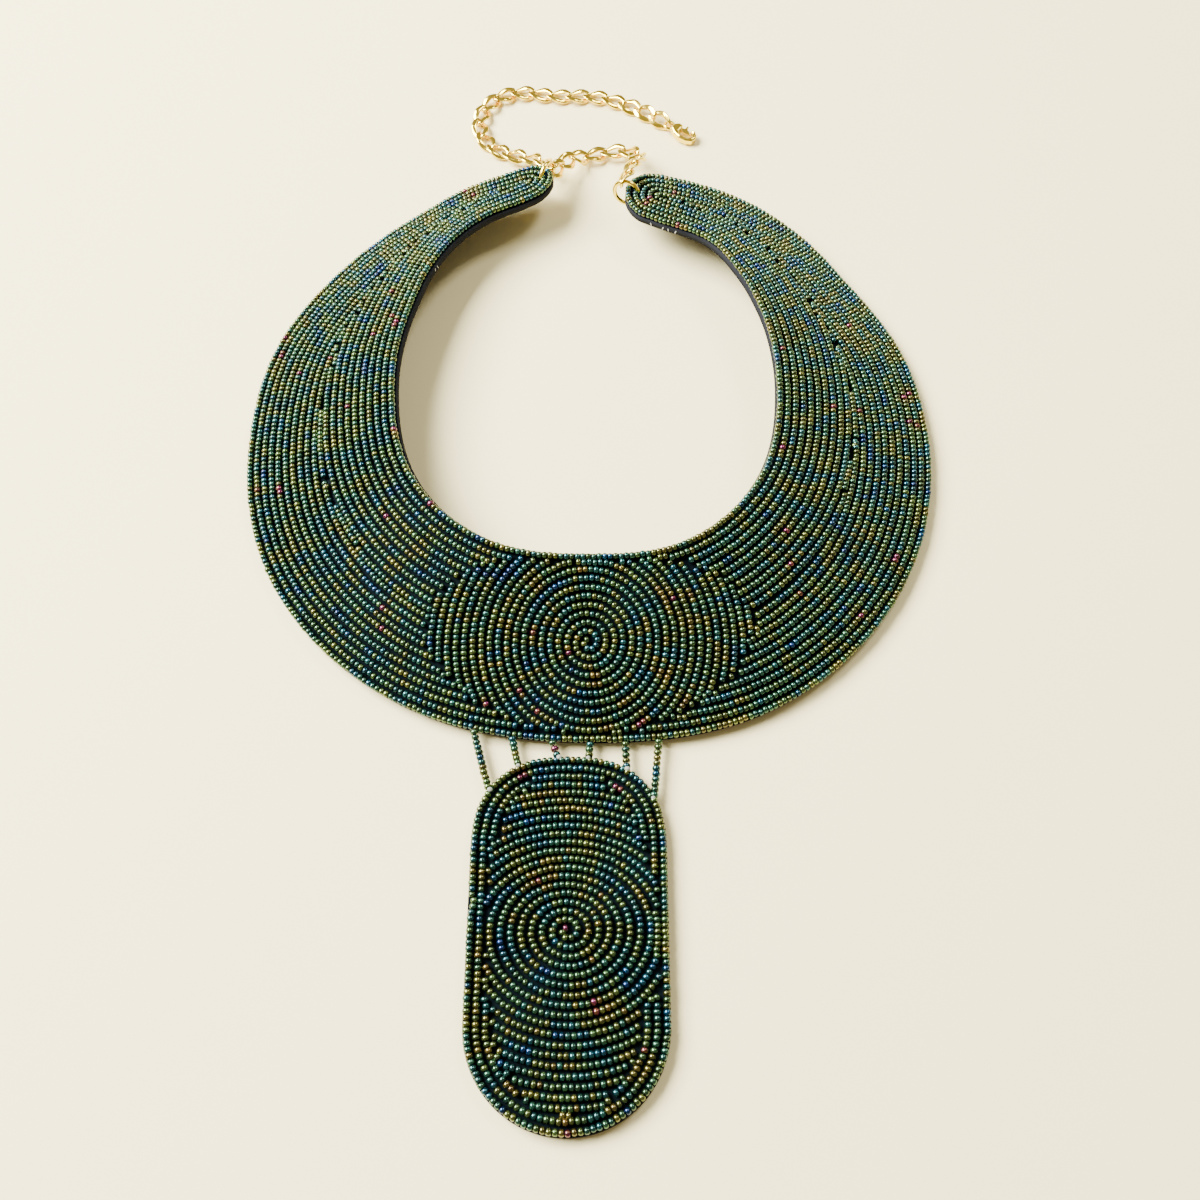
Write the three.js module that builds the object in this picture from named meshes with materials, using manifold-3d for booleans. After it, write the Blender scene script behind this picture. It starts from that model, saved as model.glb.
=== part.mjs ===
// Bib necklace of bead embroidery, lying on a table. Millimetres, +Z up, +Y from the plaque to the open
// back.
// A stiff collar in the form of a shallow cone carries fields of bead rows. Six bead strands join it to a
// plaque, and a curb chain runs from tip to tip, with a free end that carries a lobster clasp.

import * as THREE from 'three';
import { mergeVertices } from 'three/addons/utils/BufferGeometryUtils.js';
import Module from 'manifold-3d';

// Clearances
const clearance = 0.3;            // between pieces that lie against each other
const hingeClearance = 0.15;      // round the clasp's pin

// Collar, measured in plan from the middle of the neck opening
const neckRadius = 66;            // neck edge at the sides
const bandWidth = 57;             // neck edge to outer rim at the sides
const neckRise = 18;              // underside of the neck edge above the table
const tipLift = 9;                // underside of the outer rim at the tips above the table
const tipRounding = 10;           // length of the rounded end of a tip
const backingThickness = 2.4;

// Bead work
const beadDiameter = 2.2;
const edgeRowInset = 1.2;         // middle of an edge row from the edge of its backing
const medallionWidth = 104;
const medallionMargin = 2;        // in plan, from the medallion to the band's edges

// Pendant plaque
const pendantWidth = 61;
const pendantLength = 113;
const pendantDrop = 5.9;          // gap in plan between the collar's outer rim and the plaque
const topSquareness = 2.5;        // power of the plaque's top end, where 2 is a half circle
const pendantShift = -5.4;        // the plaque lies a little left of the collar's middle

// Tip rings and chain
const ringRadius = 5;             // to the middle of the wire
const ringWire = 1.2;
const ringPlay = 0.6;             // round the wire where it goes through a tip's hole
const tipHoleInset = 4.7;         // middle of the hole from the tip's end
const linkLength = 11.3;
const linkWidth = 7.4;
const linkWire = 1.4;
const linkTwist = 45;             // degrees, at each end
const linkSlack = 0.67;           // play between the wires of two links

// Lobster clasp
const claspLength = 15;           // from the middle of the eye to just past the nose
const claspThickness = 3.2;
const claspBevel = 0.6;
const claspEyeRadius = 1.9;       // to the middle of the eye's rim
const claspEyeRim = 1.5;
const claspEyeDrop = 0.4;         // middle of the eye below the middle of the last link
const leverThickness = 1.1;
const leverSideClearance = 0.2;
const pinRadius = 0.5;

// The collar's sections. turn is the angle from the front, in degrees, to the left below zero. neck is the
// neck edge's radius as a share of neckRadius, band the width as a share of bandWidth, rise the height of the
// neck edge's underside as a share of neckRise, and lift that of the outer rim's as a share of tipLift.
const collarSections = [
  { turn: -173, neck: 1.64, band: 0.33, rise: 0.70, lift: 1.00 },
  { turn: -165, neck: 1.55, band: 0.38, rise: 0.76, lift: 0.90 },
  { turn: -157, neck: 1.50, band: 0.42, rise: 0.82, lift: 0.70 },
  { turn: -148, neck: 1.42, band: 0.49, rise: 0.88, lift: 0.42 },
  { turn: -138, neck: 1.31, band: 0.62, rise: 0.95, lift: 0.17 },
  { turn: -125, neck: 1.18, band: 0.775, rise: 0.98, lift: 0.03 },
  { turn: -108, neck: 1.075, band: 0.91, rise: 1.00, lift: 0.00 },
  { turn: -90, neck: 1.01, band: 0.965, rise: 1.00, lift: 0.00 },
  { turn: -60, neck: 0.98, band: 1.025, rise: 1.02, lift: 0.00 },
  { turn: -30, neck: 0.945, band: 1.035, rise: 1.06, lift: 0.00 },
  { turn: 0, neck: 0.895, band: 1.035, rise: 1.08, lift: 0.00 },
  { turn: 30, neck: 0.95, band: 1.055, rise: 1.06, lift: 0.00 },
  { turn: 60, neck: 0.975, band: 1.045, rise: 1.02, lift: 0.00 },
  { turn: 90, neck: 1.00, band: 0.99, rise: 1.00, lift: 0.00 },
  { turn: 108, neck: 1.06, band: 0.915, rise: 1.00, lift: 0.00 },
  { turn: 125, neck: 1.16, band: 0.78, rise: 0.98, lift: 0.03 },
  { turn: 138, neck: 1.265, band: 0.71, rise: 0.95, lift: 0.17 },
  { turn: 150, neck: 1.375, band: 0.595, rise: 0.86, lift: 0.48 },
  { turn: 162, neck: 1.41, band: 0.52, rise: 0.78, lift: 0.82 },
  { turn: 172.5, neck: 1.48, band: 0.42, rise: 0.70, lift: 1.00 },
];

// Where the strands leave the collar, as a turn in degrees, and where they meet the plaque's top, across from
// its middle line as a share of half its width.
const strands = [
  { collarTurn: -17.9, across: -0.86 },
  { collarTurn: -11.8, across: -0.55 },
  { collarTurn: -5.6, across: -0.12 },
  { collarTurn: 0.5, across: 0.21 },
  { collarTurn: 6, across: 0.62 },
  { collarTurn: 11.3, across: 0.91 },
];

// The chain's joining stretch hangs between the two tip rings. along is the share of the way from the right
// ring to the left one, and out the distance outwards as a share of the drape that its links give it. Heights
// are shares of linkWidth.
const joiningLinks = 10;
const joiningRoute = [
  { along: 0.04, out: 0.45, height: 2.03 },
  { along: 0.07, out: 0.81, height: 1.14 },
  { along: 0.31, out: 0.97, height: 0.52 },
  { along: 0.48, out: 0.95, height: 0.34 },
  { along: 0.74, out: 0.74, height: 0.36 },
  { along: 0.85, out: 0.59, height: 0.83 },
];

// The free end's route from the left ring. right and back are counted in links from the ring's middle.
const freeLinks = 19;
const freeRoute = [
  { right: -0.45, back: 1.85, height: 0.88 },
  { right: -1.54, back: 2.56, height: 0.41 },
  { right: -2.69, back: 3.07, height: 0.27 },
  { right: -3.56, back: 4.03, height: 0.257 },
  { right: -3.81, back: 5.24, height: 0.257 },
  { right: -3.39, back: 6.52, height: 0.257 },
  { right: -2.43, back: 7.35, height: 0.257 },
  { right: -1.15, back: 7.46, height: 0.257 },
  { right: 0.38, back: 7.17, height: 0.257 },
  { right: 1.91, back: 7.22, height: 0.257 },
  { right: 3.19, back: 6.97, height: 0.257 },
  { right: 4.46, back: 6.33, height: 0.284 },
  { right: 5.61, back: 5.47, height: 0.42 },
  { right: 7.3, back: 4.2, height: 0.48 },
];
const rightRingHeading = 160;     // degrees in plan, from +X, that each ring points outwards
const leftRingHeading = 62;

// How a chain's end link hooks its ring: hook is the degrees above level round the ring, and roll the degrees
// that the end link turns about its length, which the next links lose one after another.
const joiningStart = { hook: 72, roll: -47 };
const joiningEnd = { hook: -18, roll: -46 };
const freeStart = { hook: 15, roll: 25 };
const freeEnd = { roll: 45 };
const rollLinks = 3;

const materials = {
  backing: new THREE.MeshStandardMaterial({ color: 0x14161c, roughness: 0.75 }),
  beads: new THREE.MeshStandardMaterial({ color: 0x3f6a50, roughness: 0.3, metalness: 0.7 }),
  pendantBeads: new THREE.MeshStandardMaterial({ color: 0x4b6a3c, roughness: 0.3, metalness: 0.7 }),
  gold: new THREE.MeshStandardMaterial({ color: 0xd8a848, roughness: 0.2, metalness: 1 }),
};

const wasm = await Module();
wasm.setup();

const group = new THREE.Group();

function addMesh(name, geometry, material) {
  const mesh = new THREE.Mesh(geometry, material);
  mesh.name = name;
  group.add(mesh);
  return mesh;
}

function toSolid(geometry) {
  const bare = geometry.clone();
  bare.deleteAttribute('normal');
  bare.deleteAttribute('uv');
  const merged = mergeVertices(bare, 1e-4);
  return new wasm.Manifold(new wasm.Mesh({
    numProp: 3,
    vertProperties: new Float32Array(merged.attributes.position.array),
    triVerts: new Uint32Array(merged.index.array),
  }));
}

function toGeometry(solid) {
  const mesh = solid.getMesh();
  const geometry = new THREE.BufferGeometry();
  geometry.setAttribute('position', new THREE.BufferAttribute(mesh.vertProperties, 3));
  geometry.setIndex(new THREE.BufferAttribute(mesh.triVerts, 1));
  geometry.computeVertexNormals();
  return geometry;
}

// A closed solid through rings that hold the same number of points, each ring going the same way round. An
// open loft has a fan at each end, and a closed one joins its last ring to its first. The quads of a ring's
// second half are split the other way, so that the top of a thin layer folds as its underside does.
function loft(rings, closed) {
  const size = rings[0].length;
  const positions = rings.flat().flatMap((point) => point.toArray());
  const index = [];
  const spans = closed ? rings.length : rings.length - 1;
  for (let i = 0; i < spans; i += 1) {
    const here = i * size;
    const next = ((i + 1) % rings.length) * size;
    for (let j = 0; j < size; j += 1) {
      const k = (j + 1) % size;
      if (j < size / 2) {
        index.push(here + j, here + k, next + k);
        index.push(here + j, next + k, next + j);
      } else {
        index.push(here + j, here + k, next + j);
        index.push(here + k, next + k, next + j);
      }
    }
  }
  if (!closed) {
    const last = (rings.length - 1) * size;
    for (let j = 1; j < size - 1; j += 1) {
      index.push(0, j + 1, j);
      index.push(last, last + j, last + j + 1);
    }
  }
  const geometry = new THREE.BufferGeometry();
  geometry.setAttribute('position', new THREE.Float32BufferAttribute(positions, 3));
  geometry.setIndex(index);
  geometry.computeVertexNormals();
  return geometry;
}

// A round wire or bead row along a closed list of { point, up } frames.
function closedWire(frames, radius, sides) {
  const count = frames.length;
  const rings = frames.map(({ point, up }, i) => {
    const before = frames[(i + count - 1) % count].point;
    const after = frames[(i + 1) % count].point;
    const along = after.clone().sub(before).normalize();
    const across = new THREE.Vector3().crossVectors(up, along).normalize();
    const above = new THREE.Vector3().crossVectors(along, across);
    return Array.from({ length: sides }, (_, j) => {
      const angle = 2 * Math.PI * (j + 0.5) / sides;
      return point.clone()
        .addScaledVector(across, radius * Math.cos(angle))
        .addScaledVector(above, radius * Math.sin(angle));
    });
  });
  return loft(rings, true);
}

// A value from the collar's table at any turn, on a smooth curve through the rows.
function sectionValue(column, turn) {
  const rows = collarSections;
  const last = rows.length - 1;
  let i = 0;
  while (i < last - 1 && rows[i + 1].turn < turn) i += 1;
  const slope = (k) => {
    const a = rows[Math.max(k - 1, 0)];
    const b = rows[Math.min(k + 1, last)];
    return (b[column] - a[column]) / (b.turn - a.turn);
  };
  const span = rows[i + 1].turn - rows[i].turn;
  const t = (turn - rows[i].turn) / span;
  const rest = 1 - t;
  return rest * rest * (1 + 2 * t) * rows[i][column] + t * rest * rest * span * slope(i)
    + t * t * (3 - 2 * t) * rows[i + 1][column] - t * t * rest * span * slope(i + 1);
}

// One section of the collar: the undersides of its neck edge and outer rim, and the leather's upward normal.
// share is how much of the band's width is left where a tip rounds off.
function collarSection(turn, share) {
  const angle = THREE.MathUtils.degToRad(turn);
  const outwards = new THREE.Vector3(Math.sin(angle), -Math.cos(angle), 0);
  const neck = sectionValue('neck', turn) * neckRadius;
  const band = sectionValue('band', turn) * bandWidth;
  const rise = sectionValue('rise', turn) * neckRise;
  const lift = Math.max(sectionValue('lift', turn), 0) * tipLift;
  const middle = outwards.clone().multiplyScalar(neck + band / 2).setZ((rise + lift) / 2);
  const halfWay = outwards.clone().multiplyScalar(band / 2).setZ((lift - rise) / 2);
  const tilt = Math.atan2(rise - lift, band);
  const normal = outwards.clone().multiplyScalar(Math.sin(tilt)).setZ(Math.cos(tilt));
  return {
    neck: middle.clone().addScaledVector(halfWay, -share),
    rim: middle.clone().addScaledVector(halfWay, share),
    normal,
  };
}

// The sections from the left tip to the right one, close together where the tips round off.
const roundedSteps = 5;
const firstTurn = collarSections[0].turn;
const lastTurn = collarSections[collarSections.length - 1].turn;

function tipSections(endTurn, direction) {
  const radius = (sectionValue('neck', endTurn) * neckRadius + sectionValue('band', endTurn) * bandWidth / 2);
  return Array.from({ length: roundedSteps }, (_, k) => {
    const quarter = (k + 1) / roundedSteps * Math.PI / 2;
    const back = tipRounding * (1 - Math.cos(quarter));
    return collarSection(endTurn + direction * THREE.MathUtils.radToDeg(back / radius), Math.sin(quarter));
  });
}

const roundedTurn = THREE.MathUtils.radToDeg(tipRounding / (neckRadius + bandWidth));
const bodySteps = 58;
const bodySections = Array.from({ length: bodySteps - 1 }, (_, i) => {
  const from = firstTurn + roundedTurn;
  const to = lastTurn - roundedTurn;
  return collarSection(from + (to - from) * (i + 1) / bodySteps, 1);
});
const sections = [
  ...tipSections(firstTurn, 1),
  ...bodySections,
  ...tipSections(lastTurn, -1).reverse(),
];

// The collar's edge as one loop, along the outer rim and back along the neck edge.
const edgeLoop = [
  ...sections.map(({ rim, normal }) => ({ point: rim, normal })),
  ...sections.map(({ neck, normal }) => ({ point: neck, normal })).reverse(),
];

// The edge loop moved in from the edge and up from the underside.
function insetLoop(inset, height) {
  const count = edgeLoop.length;
  return edgeLoop.map(({ point, normal }, i) => {
    const toBefore = point.clone().sub(edgeLoop[(i + count - 1) % count].point).normalize();
    const toAfter = edgeLoop[(i + 1) % count].point.clone().sub(point).normalize();
    const sideBefore = new THREE.Vector3().crossVectors(normal, toBefore).normalize();
    const sideAfter = new THREE.Vector3().crossVectors(normal, toAfter).normalize();
    const inwards = sideBefore.clone().add(sideAfter).normalize();
    return point.clone()
      .addScaledVector(inwards, inset / inwards.dot(sideAfter))
      .addScaledVector(normal, height);
  });
}

function collarLayer(inset, bottom, top) {
  const low = insetLoop(inset, bottom);
  const high = insetLoop(inset, top);
  const opposite = (i) => edgeLoop.length - 1 - i;
  return loft(sections.map((_, i) => [low[i], low[opposite(i)], high[opposite(i)], high[i]]), false);
}

const beadBottom = backingThickness + clearance;
const beadTop = beadBottom + beadDiameter;
const beadMiddle = beadBottom + beadDiameter / 2;
const fieldInset = edgeRowInset + beadDiameter / 2 + clearance;

// The hole in a tip and the ring through it. The ring stands square to the collar's leather and heads away
// from it, and its wire rests against the side of the hole.
const slabHalf = beadTop / 2;
const ringOpening = Math.sqrt((ringRadius - ringWire / 2) ** 2 - slabHalf ** 2);
const tipHoleRadius = (ringRadius + ringWire / 2 - ringOpening) / 2 + ringPlay;
const holeSides = 12;

function tipFrame(end, next, headingDegrees) {
  const angle = THREE.MathUtils.degToRad(headingDegrees);
  const heading = new THREE.Vector3(Math.cos(angle), Math.sin(angle), 0);
  heading.addScaledVector(end.normal, -heading.dot(end.normal)).normalize();
  const tip = end.neck.clone().add(end.rim).multiplyScalar(0.5);
  const inwards = next.neck.clone().add(next.rim).multiplyScalar(0.5).sub(tip).normalize();
  const middle = tip.addScaledVector(inwards, tipHoleInset).addScaledVector(end.normal, slabHalf);
  const centre = middle.clone().addScaledVector(heading, tipHoleRadius + ringOpening - 0.75 * ringPlay);
  return { middle, normal: end.normal, heading, centre };
}

const lastSection = sections.length - 1;
const tips = {
  left: tipFrame(sections[0], sections[roundedSteps], leftRingHeading),
  right: tipFrame(sections[lastSection], sections[lastSection - roundedSteps], rightRingHeading),
};

function holeCutter({ middle, normal }) {
  const geometry = new THREE.CylinderGeometry(tipHoleRadius, tipHoleRadius, 4 * beadTop, holeSides);
  geometry.applyQuaternion(new THREE.Quaternion().setFromUnitVectors(new THREE.Vector3(0, 1, 0), normal));
  geometry.translate(middle.x, middle.y, middle.z);
  return toSolid(geometry);
}

function cutTipHoles(solid) {
  return solid.subtract(holeCutter(tips.left)).subtract(holeCutter(tips.right));
}

const leather = cutTipHoles(toSolid(collarLayer(0, 0, backingThickness)));
addMesh('collar_backing', toGeometry(leather), materials.backing);

const rowSides = 8;
const edgeNormals = edgeLoop.map(({ normal }) => normal);
const edgeRowFrames = insetLoop(edgeRowInset, beadMiddle).map((point, i) => ({ point, up: edgeNormals[i] }));
addMesh('collar_edge_row', closedWire(edgeRowFrames, beadDiameter / 2, rowSides), materials.beads);

// The bead fields fill the collar inside its edge row. The medallion is an oval of the field at the front,
// and the wings are what is left on each side of it.
const reach = 2 * (neckRadius + bandWidth);
const frontMiddle = sectionValue('neck', 0) * neckRadius + sectionValue('band', 0) * bandWidth / 2;

const medallionDepth = bandWidth - 2 * medallionMargin;
const medallionSteps = 48;

function medallionPrism(margin) {
  const oval = new THREE.Shape();
  oval.absellipse(0, -frontMiddle, medallionWidth / 2 + margin, medallionDepth / 2 + margin, 0, 2 * Math.PI);
  const geometry = new THREE.ExtrudeGeometry(oval, {
    depth: reach,
    bevelEnabled: false,
    curveSegments: medallionSteps / 2,
  });
  geometry.translate(0, 0, -reach / 2);
  return toSolid(geometry);
}

function sideBlock(side) {
  const geometry = new THREE.BoxGeometry(reach, 2 * reach, reach);
  geometry.translate(side * (reach / 2 + clearance / 2), 0, 0);
  return toSolid(geometry);
}

const field = cutTipHoles(toSolid(collarLayer(fieldInset, beadBottom, beadTop)));
const wings = field.subtract(medallionPrism(clearance));
addMesh('front_medallion', toGeometry(field.intersect(medallionPrism(0))), materials.pendantBeads);
addMesh('left_wing_beads', toGeometry(wings.intersect(sideBlock(-1))), materials.beads);
addMesh('right_wing_beads', toGeometry(wings.intersect(sideBlock(1))), materials.beads);

// The plaque is an oval with straight sides and a squarer top. It lies flat, with its top below the collar's
// rim.
const pendantRadius = pendantWidth / 2;
const pendantStraight = pendantLength - pendantWidth;
const frontRim = (sectionValue('neck', 0) * neckRadius + sectionValue('band', 0) * bandWidth);
const pendantTopMiddle = -frontRim - pendantDrop - pendantRadius;
const roundSteps = 14;

// Points from one side of an end to the other, anticlockwise, on a curve of the given power.
function plaqueEnd(radius, middleY, side, power) {
  return Array.from({ length: roundSteps + 1 }, (_, i) => {
    const angle = Math.PI * i / roundSteps;
    const across = side * Math.sign(Math.cos(angle)) * Math.abs(Math.cos(angle)) ** (2 / power);
    const along = side * Math.sin(angle) ** (2 / power);
    return new THREE.Vector2(pendantShift + radius * across, middleY + radius * along);
  });
}

function plaqueOutline(inset) {
  const radius = pendantRadius - inset;
  return [
    ...plaqueEnd(radius, pendantTopMiddle, 1, topSquareness),
    ...plaqueEnd(radius, pendantTopMiddle - pendantStraight, -1, 2),
  ];
}

function plaqueLayer(inset, bottom, depth) {
  const options = { depth, bevelEnabled: false };
  const geometry = new THREE.ExtrudeGeometry(new THREE.Shape(plaqueOutline(inset)), options);
  geometry.translate(0, 0, bottom);
  return geometry;
}

function plaqueRow(inset) {
  const up = new THREE.Vector3(0, 0, 1);
  const frames = plaqueOutline(inset).map(({ x, y }) => ({ point: new THREE.Vector3(x, y, beadMiddle), up }));
  return closedWire(frames.reverse(), beadDiameter / 2, rowSides);
}

addMesh('pendant_backing', plaqueLayer(0, 0, backingThickness), materials.backing);
addMesh('pendant_bead_field', plaqueLayer(fieldInset, beadBottom, beadDiameter), materials.pendantBeads);
addMesh('pendant_edge_row', plaqueRow(edgeRowInset), materials.beads);

// Each strand runs from the collar's edge row to the plaque's, and sags a little.
const strandSag = 0.05;           // share of its length
const strandSteps = 4;

// How far a strand's cut end stays from the middle of a bead row that it meets at a slant.
function strandStandOff(cosine) {
  const radius = beadDiameter / 2;
  return (radius + clearance + radius * Math.sqrt(1 - cosine * cosine)) / cosine;
}

function strandTube({ collarTurn, across }) {
  const section = collarSection(collarTurn, 1);
  const outwards = section.rim.clone().setZ(0).normalize();
  const from = section.rim.clone()
    .addScaledVector(section.normal, beadMiddle)
    .addScaledVector(outwards, -edgeRowInset);
  const rowRadius = pendantRadius - edgeRowInset;
  const above = (1 - Math.abs(across) ** topSquareness) ** (1 / topSquareness);
  const to = new THREE.Vector3(
    pendantShift + rowRadius * across,
    pendantTopMiddle + rowRadius * above,
    beadMiddle,
  );
  const along = to.clone().sub(from);
  const length = along.length();
  along.normalize();
  const rowNormal = new THREE.Vector3(
    Math.sign(across) * Math.abs(across) ** (topSquareness - 1),
    above ** (topSquareness - 1),
    0,
  ).normalize();
  from.addScaledVector(along, strandStandOff(Math.abs(along.dot(outwards))));
  to.addScaledVector(along, -strandStandOff(Math.abs(along.dot(rowNormal))));
  const middle = from.clone().add(to).multiplyScalar(0.5);
  middle.z -= strandSag * length;
  const disc = new THREE.Shape();
  disc.absarc(0, 0, beadDiameter / 2, 0, 2 * Math.PI, false);
  return new THREE.ExtrudeGeometry(disc, {
    steps: strandSteps,
    curveSegments: rowSides,
    bevelEnabled: false,
    extrudePath: new THREE.QuadraticBezierCurve3(from, middle, to),
  });
}

strands.forEach((strand, i) => {
  addMesh(`drop_strand_${i + 1}`, strandTube(strand), materials.beads);
});

// Rings and links are closed loops of wire.
const wireSides = 6;
const wireSteps = 14;

function tipRing({ centre, heading, normal }) {
  const ring = new THREE.TorusGeometry(ringRadius, ringWire / 2, wireSides, wireSteps + 2);
  const side = new THREE.Vector3().crossVectors(heading, normal);
  ring.applyMatrix4(new THREE.Matrix4().makeBasis(heading, normal, side));
  ring.translate(centre.x, centre.y, centre.z);
  return ring;
}

addMesh('left_tip_ring', tipRing(tips.left), materials.gold);
addMesh('right_tip_ring', tipRing(tips.right), materials.gold);

// A curb link is an oval twisted about its long axis, so that each end stands square to its neighbour's.
const linkReach = (linkLength - linkWire) / 2;
const linkHalfWidth = (linkWidth - linkWire) / 2;
const linkPitch = linkLength - 2 * linkWire - linkSlack;

function linkGeometry() {
  const frames = Array.from({ length: wireSteps }, (_, i) => {
    const turn = 2 * Math.PI * i / wireSteps;
    const twist = THREE.MathUtils.degToRad(linkTwist) * Math.cos(turn);
    const side = linkHalfWidth * Math.sin(turn);
    return {
      point: new THREE.Vector3(linkReach * Math.cos(turn), side * Math.cos(twist), side * Math.sin(twist)),
      up: new THREE.Vector3(0, -Math.sin(twist), Math.cos(twist)),
    };
  });
  return closedWire(frames, linkWire / 2, wireSides);
}

const link = linkGeometry();

function addLink(name, from, to, rollDegrees) {
  const along = to.clone().sub(from).normalize();
  const side = new THREE.Vector3(0, 0, 1).cross(along).normalize();
  const above = new THREE.Vector3().crossVectors(along, side);
  const mesh = addMesh(name, link, materials.gold);
  const roll = new THREE.Matrix4().makeRotationX(THREE.MathUtils.degToRad(rollDegrees));
  mesh.quaternion.setFromRotationMatrix(new THREE.Matrix4().makeBasis(along, side, above).multiply(roll));
  mesh.position.copy(from).add(to).multiplyScalar(0.5);
}

// Where a chain's first joint sits, just inside a ring's wire, for a chain that leaves towards next.
function ringJoint({ centre, heading, normal }, hookDegrees, next) {
  const hook = THREE.MathUtils.degToRad(hookDegrees);
  const wire = centre.clone()
    .addScaledVector(heading, ringRadius * Math.cos(hook))
    .addScaledVector(normal, ringRadius * Math.sin(hook));
  const away = next.clone().sub(wire).normalize();
  return wire.addScaledVector(away, -(ringWire + linkWire) / 4 - linkSlack / 2);
}

// Joints one pitch apart in a straight line, along a curve from its start.
const samplesPerLink = 160;

function jointsAlong(curve) {
  const samples = curve.getSpacedPoints(Math.ceil(curve.getLength() / linkPitch * samplesPerLink));
  const joints = [samples[0]];
  samples.forEach((sample) => {
    if (sample.distanceTo(joints[joints.length - 1]) >= linkPitch) joints.push(sample);
  });
  return joints;
}

let linkCount = 0;

function addChain(joints, start, end) {
  const links = joints.length - 1;
  for (let i = 0; i < links; i += 1) {
    linkCount += 1;
    const roll = start.roll * Math.max(0, 1 - i / rollLinks)
      + end.roll * Math.max(0, 1 - (links - 1 - i) / rollLinks);
    addLink(`chain_link_${String(linkCount).padStart(2, '0')}`, joints[i], joints[i + 1], roll);
  }
}

const wayAcross = tips.left.centre.clone().sub(tips.right.centre).setZ(0);
const wayOut = new THREE.Vector3(-wayAcross.y, wayAcross.x, 0).negate().normalize();

function joiningCurve(drape) {
  const points = joiningRoute.map(({ along, out, height }) => tips.right.centre.clone()
    .addScaledVector(wayAcross, along)
    .addScaledVector(wayOut, out * drape)
    .setZ(height * linkWidth));
  return new THREE.CatmullRomCurve3([
    ringJoint(tips.right, joiningStart.hook, points[0]),
    ...points,
    ringJoint(tips.left, joiningEnd.hook, points[points.length - 1]),
  ], false, 'centripetal');
}

// The joining stretch's joints, at the drape where its links just reach the left ring.
function joiningJoints() {
  let low = 0;
  let high = joiningLinks * linkPitch / 2;
  let joints = [];
  while (high - low > clearance / samplesPerLink) {
    const drape = (low + high) / 2;
    const curve = joiningCurve(drape);
    joints = jointsAlong(curve);
    const left = curve.getPoint(1).distanceTo(joints[joints.length - 1]);
    if (joints.length - 1 + left / linkPitch < joiningLinks) low = drape;
    else high = drape;
  }
  return joints.slice(0, joiningLinks).concat(joiningCurve(high).getPoint(1));
}

addChain(joiningJoints(), joiningStart, joiningEnd);

const freePoints = freeRoute.map(({ right, back, height }) => new THREE.Vector3(
  tips.left.centre.x + right * linkPitch,
  tips.left.centre.y + back * linkPitch,
  height * linkWidth,
));
const freeCurve = new THREE.CatmullRomCurve3([
  ringJoint(tips.left, freeStart.hook, freePoints[0]),
  ...freePoints,
], false, 'centripetal');
const freeJoints = jointsAlong(freeCurve).slice(0, freeLinks + 1);
addChain(freeJoints, freeStart, freeEnd);

// The lobster clasp, drawn flat with x from the eye to the nose and y towards the lever. All its places are
// shares of claspLength. The claw is open between the hook's tip and the block that holds the lever.
const clawOutline = [
  { x: 0.10, y: -0.09 },
  { x: 0.26, y: -0.20 },
  { x: 0.48, y: -0.25 },
  { x: 0.70, y: -0.22 },
  { x: 0.85, y: -0.12 },
  { x: 0.88, y: 0.02 },
  { x: 0.83, y: 0.15 },
  { x: 0.72, y: 0.23 },
  { x: 0.63, y: 0.23 },
  { x: 0.62, y: 0.15 },
  { x: 0.70, y: 0.11 },
  { x: 0.75, y: 0.02 },
  { x: 0.71, y: -0.08 },
  { x: 0.60, y: -0.13 },
  { x: 0.46, y: -0.13 },
  { x: 0.38, y: -0.08 },
  { x: 0.37, y: 0.10 },
  { x: 0.32, y: 0.20 },
  { x: 0.20, y: 0.20 },
  { x: 0.10, y: 0.09 },
];
const leverOutline = [
  { x: 0.20, y: 0.06 },
  { x: 0.24, y: 0.02 },
  { x: 0.30, y: 0.02 },
  { x: 0.44, y: 0.02 },
  { x: 0.58, y: 0.04 },
  { x: 0.67, y: 0.05 },
  { x: 0.66, y: 0.12 },
  { x: 0.59, y: 0.12 },
  { x: 0.57, y: 0.17 },
  { x: 0.50, y: 0.17 },
  { x: 0.47, y: 0.29 },
  { x: 0.41, y: 0.28 },
  { x: 0.42, y: 0.16 },
  { x: 0.30, y: 0.15 },
  { x: 0.23, y: 0.14 },
];
const pinPlace = { x: 0.265, y: 0.085 };
const slotPlace = { fromX: 0.16, toX: 0.50, fromY: -0.02, toY: 0.40 };

function outlinePlate(outline, depth, bevel) {
  const points = outline.map(({ x, y }) => new THREE.Vector2(x * claspLength, y * claspLength));
  const options = {
    depth: depth - 2 * bevel,
    bevelEnabled: bevel > 0,
    bevelSize: bevel,
    bevelThickness: bevel,
    bevelOffset: -bevel,
    bevelSegments: 1,
  };
  const geometry = new THREE.ExtrudeGeometry(new THREE.Shape(points), options);
  geometry.translate(0, 0, bevel - depth / 2);
  return toSolid(geometry);
}

function pinCylinder(radius, depth) {
  const geometry = new THREE.CylinderGeometry(radius, radius, depth, holeSides);
  geometry.rotateX(Math.PI / 2);
  geometry.translate(pinPlace.x * claspLength, pinPlace.y * claspLength, 0);
  return toSolid(geometry);
}

function claspBody() {
  const { fromX, toX, fromY, toY } = slotPlace;
  const slotDepth = leverThickness + 2 * leverSideClearance;
  const slot = new THREE.BoxGeometry((toX - fromX) * claspLength, (toY - fromY) * claspLength, slotDepth);
  slot.translate((fromX + toX) / 2 * claspLength, (fromY + toY) / 2 * claspLength, 0);
  const eye = new THREE.TorusGeometry(claspEyeRadius, claspEyeRim / 2, wireSides, wireSteps);
  return outlinePlate(clawOutline, claspThickness, claspBevel)
    .subtract(toSolid(slot))
    .add(pinCylinder(pinRadius, claspThickness - claspBevel))
    .add(toSolid(eye));
}

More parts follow.
